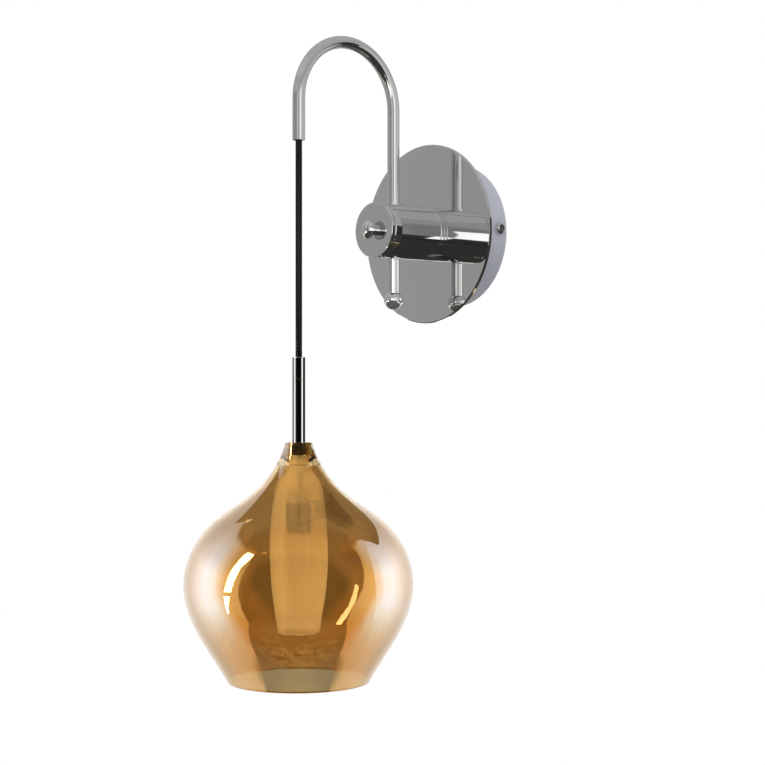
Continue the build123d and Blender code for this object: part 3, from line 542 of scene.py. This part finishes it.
# ---------------------------------------------------------------- clamp knob
# A small turned and plated knob on the cap presses a pad on the arm and sets how freely it swings.
knob_chrome = plated("knob_chrome", (0.775, 0.77, 0.76), 0.045, 120.0, metal=0.98)
dress(knob_chrome, "clamp_knob", "knob_washer")


# ---------------------------------------------------------------- sleeve and neck collar
# The sleeve is a plated tube over the cord's grip. Its colour is painted dark where it turns away from the viewer,
# a painted reflection of a dark room, which is fitted to the photograph and not how plating behaves. The collar is a
# turned ring that centres the glass in the neck. Its near-black colour is painted shade, standing in for the dark
# that its plating mirrors inside the glass.
sleeve_plate = material("sleeve_chrome")
sleeve_facing = sleeve_plate.node("LayerWeight", {}, {"Blend": 0.5}, output="Facing")
sleeve_smear = sleeve_plate.noise(60.0, 4.0)
sleeve_chrome = sleeve_plate.done(sleeve_plate.principled(
    # painted reflection: the base colour turns near black where the sleeve faces away from the viewer
    base_color=sleeve_plate.colour(sleeve_plate.step(sleeve_facing, 0.47, 0.60), (0.755, 0.75, 0.74),
                                   (0.05, 0.05, 0.05)),
    metallic=1.0,
    roughness=0.015 + sleeve_smear * 0.04))
dress(sleeve_chrome, "sleeve")
# painted shade: the collar is coloured near black for the dark that its plating mirrors inside the glass
collar_painted_shade = plated("collar_painted_shade", (0.030, 0.028, 0.026), 0.08, 200.0, metal=0.0)
dress(collar_painted_shade, "neck_collar")


# ---------------------------------------------------------------- wall bracket
# Pressed 2 mm steel strap, zinc plated: the spangle and the dull passivated tint of cheap zinc.
zinc = material("zinc_steel")
spangle = zinc.node("TexVoronoi", {"feature": "F1"}, {
    "Vector": zinc.node("TexCoord", output="Object"), "Scale": 260.0}, output="Color")
zinc_cloud = zinc.noise(45.0, 4.0)
zinc_steel = zinc.done(zinc.principled(
    base_color=zinc.colour(0.12, zinc.colour(zinc_cloud, (0.50, 0.51, 0.50), (0.62, 0.62, 0.58)), spangle),
    metallic=1.0,
    roughness=0.36 + zinc_cloud * 0.16,
    normal=zinc.bump(zinc_cloud, 0.00005)))
dress(zinc_steel, "wall_bracket")


# ---------------------------------------------------------------- nipples, nuts and screws
# Small turned steel hardware, bright zinc, with the fine circular marks of the lathe.
def turned(name, dark, light, haze, metal=1.0):
    """Metal straight off a small lathe."""
    made = material(name)
    marks = made.noise(1.0, 3.0, (700.0, 700.0, 5200.0))
    stain = made.noise(160.0, 3.0)
    return made.done(made.principled(
        base_color=made.colour(stain, dark, light),
        metallic=metal,
        roughness=haze + marks * 0.12,
        normal=made.bump(marks, 0.00002)))


steel_hardware = turned("steel_hardware", (0.46, 0.46, 0.45), (0.60, 0.60, 0.58), 0.24)
dress(steel_hardware, "canopy_nipple", "nipple_washer", "nipple_nut", "terminal_screws", "block_screw",
      "clamp_screw", "cord_anchor", "stem_nipple", "stem_nut", "holder_cap", "holder_screws", "bulb_pins")
brass_fittings = turned("brass_fittings", (0.62, 0.43, 0.17), (0.78, 0.58, 0.27), 0.22)
dress(brass_fittings, "terminal_inserts", "earth_screw", "holder_contacts")
block_aluminium = turned("block_aluminium", (0.66, 0.66, 0.67), (0.76, 0.76, 0.77), 0.34)
dress(block_aluminium, "arm_block")


# ---------------------------------------------------------------- moulded plastic
# The terminal block and the arm's bushes and pad are natural nylon, a little translucent and warm.
def moulded(name, dark, light, haze, gloss_ior=1.5):
    """Moulded plastic with the faint orange peel of its tool."""
    made = material(name)
    peel = made.noise(1500.0, 2.0)
    flow = made.noise(90.0, 3.0)
    return made.done(made.principled(
        base_color=made.colour(flow, dark, light),
        roughness=haze + peel * 0.10,
        ior=gloss_ior,
        normal=made.bump(peel, 0.00002)))


terminal_nylon = moulded("terminal_nylon", (0.66, 0.64, 0.57), (0.74, 0.72, 0.66), 0.42)
dress(terminal_nylon, "terminal_block")
pad_nylon = moulded("pad_nylon", (0.58, 0.56, 0.50), (0.70, 0.68, 0.62), 0.38)
dress(pad_nylon, "clamp_pad", "arm_tip_bush", "cord_grip", "diffuser_bush")


# ---------------------------------------------------------------- leads
# Black PVC over the lead in barrel, arm and sleeve; its cores are brown and blue, and the earth lead is green
# with yellow stripes.
lead_black = moulded("lead_sheath", (0.008, 0.008, 0.009), (0.016, 0.016, 0.017), 0.30)
dress(lead_black, "arm_lead", "barrel_lead", "pendant_lead")

core = material("lead_cores")
core_side = core.node("SeparateXYZ", {}, {0: core.node("TexCoord", output="Object")})
core_colour = core.colour(core.step(core_side, -0.0001, 0.0001), (0.02, 0.09, 0.42), (0.19, 0.07, 0.03))
core_haze = core.noise(400.0)
lamp_cores = core.done(core.principled(base_color=core_colour, roughness=0.34 + core_haze * 0.12))
dress(lamp_cores, "lamp_cores")

earth = material("earth_insulation")
earth_band = earth.node("TexWave", {"wave_type": "BANDS", "bands_direction": "DIAGONAL"}, {
    "Vector": earth.node("TexCoord", output="Object"), "Scale": 60.0})
earth_insulation = earth.done(earth.principled(
    base_color=earth.colour(earth.step(earth_band, 0.45, 0.55), (0.02, 0.22, 0.05), (0.85, 0.68, 0.04)),
    roughness=0.38))
dress(earth_insulation, "earth_lead")


# ---------------------------------------------------------------- silicone washer and gasket
# Clear silicone rings keep the glass off metal: a thin washer on the stem, and a soft gasket on the diffuser.
silicone = material("clear_silicone")
silicone_cloud = silicone.noise(220.0, 2.0)
clear_silicone = silicone.done(silicone.principled(
    base_color=silicone.colour(silicone_cloud, (0.93, 0.92, 0.89), (0.98, 0.97, 0.95)),
    roughness=0.02 + silicone_cloud * 0.05,
    ior=1.38,
    transmission_weight=1.0,
    alpha=0.2))
dress(clear_silicone, "glass_washer", "shade_gasket")


# ---------------------------------------------------------------- lampholder and bulb
# A ceramic holder for a small two-pin bulb, coloured near black under a glossy coat, with a steel cap; the bulb is a
# clear pressed capsule.
glaze = material("holder_ceramic")
glaze_speck = glaze.noise(520.0, 4.0)
holder_ceramic = glaze.done(glaze.principled(
    base_color=glaze.colour(glaze_speck, (0.03, 0.027, 0.024), (0.05, 0.045, 0.04)),
    roughness=0.26 + glaze_speck * 0.16,
    coat_weight=0.4,
    coat_roughness=0.1,
    normal=glaze.bump(glaze_speck, 0.00003)))
dress(holder_ceramic, "lampholder")

capsule = material("bulb_glass")
capsule_haze = capsule.noise(240.0, 2.0)
bulb_clear = capsule.principled(
    base_color=(0.96, 0.96, 0.95), roughness=0.05 + capsule_haze * 0.05, ior=1.46, transmission_weight=1.0)
bulb_glass = capsule.done(capsule.mix(
    capsule.node("LightPath").out("Is Shadow Ray"), bulb_clear,
    capsule.node("BsdfTransparent", {}, {"Color": (0.93, 0.93, 0.92, 1.0)})))
dress(bulb_glass, "bulb")


# ---------------------------------------------------------------- inner diffuser
# A slim blown glass sleeve, acid-satined all over, so that it glows with the light round it and what is inside
# shows only as a soft grey column. Its far wall is made to glow more than its near one, which real satin glass
# doesn't do, to bring that column out as in the photograph.
satin = material("diffuser_glass")
satin_cloud = satin.noise(55.0, 3.0)
satin_grain = satin.noise(2600.0, 2.0)
satin_sheen = satin.principled(
    base_color=satin.colour(satin_cloud, (0.93, 0.90, 0.84), (0.98, 0.96, 0.92)),
    roughness=0.16 + satin_grain * 0.06,
    ior=1.2,
    transmission_weight=1.0,
    normal=satin.bump(satin_grain, 0.000004))
satin_glow = satin.node("BsdfTranslucent", {}, {"Color": (1.0, 0.95, 0.82, 1.0)})
satin_passed = satin.node("LightPath").out("Transmission Depth")
glow_share = satin_passed.math("GREATER_THAN", satin_passed, 3.5) * 0.65 + 0.28
satin_body = satin.mix(glow_share, satin_sheen, satin_glow)
diffuser_glass = satin.done(satin.mix(
    satin.node("LightPath").out("Is Shadow Ray"), satin_body,
    satin.node("BsdfTransparent", {}, {"Color": (0.92, 0.91, 0.89, 1.0)})))
dress(diffuser_glass, "diffuser")


# ---------------------------------------------------------------- outer shade
# Mouth-blown amber glass, 2 mm thick, with a golden lustre fired on. How much of the lustre shows, and whether gold,
# pale or brown, follows the angle it is seen at, in stops that were fitted to the photograph. The lustre's colour is
# partly painted reflection: its pale band and its brown near the outline stand in for the room that the glass
# mirrors.
amber = (0.84, 0.62, 0.33)
shade = material("shade_glass")
facing = shade.node("LayerWeight", {}, {"Blend": 0.5}, output="Facing")
shade_ripple = shade.noise(30.0, 2.0)
ripple_bump = shade.bump(shade_ripple, 0.00005)
shade_clear = shade.principled(
    base_color=amber, roughness=0.0, ior=1.45, transmission_weight=1.0, normal=ripple_bump)
# partly painted reflection: the pale and brown stops stand in for the room mirrored in the glass
lustre_colour_and_painted_reflection = shade.node("ValToRGB", {"stops": [
    (0.0, (0.86, 0.43, 0.06, 1)), (0.23, (0.88, 0.48, 0.10, 1)), (0.34, (0.97, 0.93, 0.86, 1)),
    (0.42, (0.97, 0.94, 0.90, 1)), (0.52, (0.84, 0.74, 0.63, 1)), (0.66, (0.50, 0.38, 0.26, 1)),
    (0.90, (0.25, 0.15, 0.07, 1))]}, {0: facing})
shade_lustre = shade.principled(
    base_color=lustre_colour_and_painted_reflection, metallic=1.0, roughness=0.0, normal=ripple_bump)
lustre_share = shade.node("ValToRGB", {"stops": [
    (0.0, 0.08), (0.05, 0.10), (0.14, 0.24), (0.22, 0.38), (0.29, 0.56), (0.58, 0.64), (0.75, 0.82),
    (1.0, 0.92)]}, {0: facing})
shade_spot = shade.node("SeparateXYZ", {}, {0: shade.node("TexCoord", output="Object")})
thinning = 1.0 - shade.step(shade_spot.out("Z"), -0.215, -0.180) * 0.6     # fitted to the diffuser's brightness
shade_front = shade.mix(lustre_share * thinning, shade_clear, shade_lustre)
shade_glass = shade.done(shade.mix(
    shade.node("LightPath").out("Is Shadow Ray"), shade_front,
    shade.node("BsdfTransparent", {}, {"Color": (0.99, 0.95, 0.84, 1.0)})))
dress(shade_glass, "outer_shade")
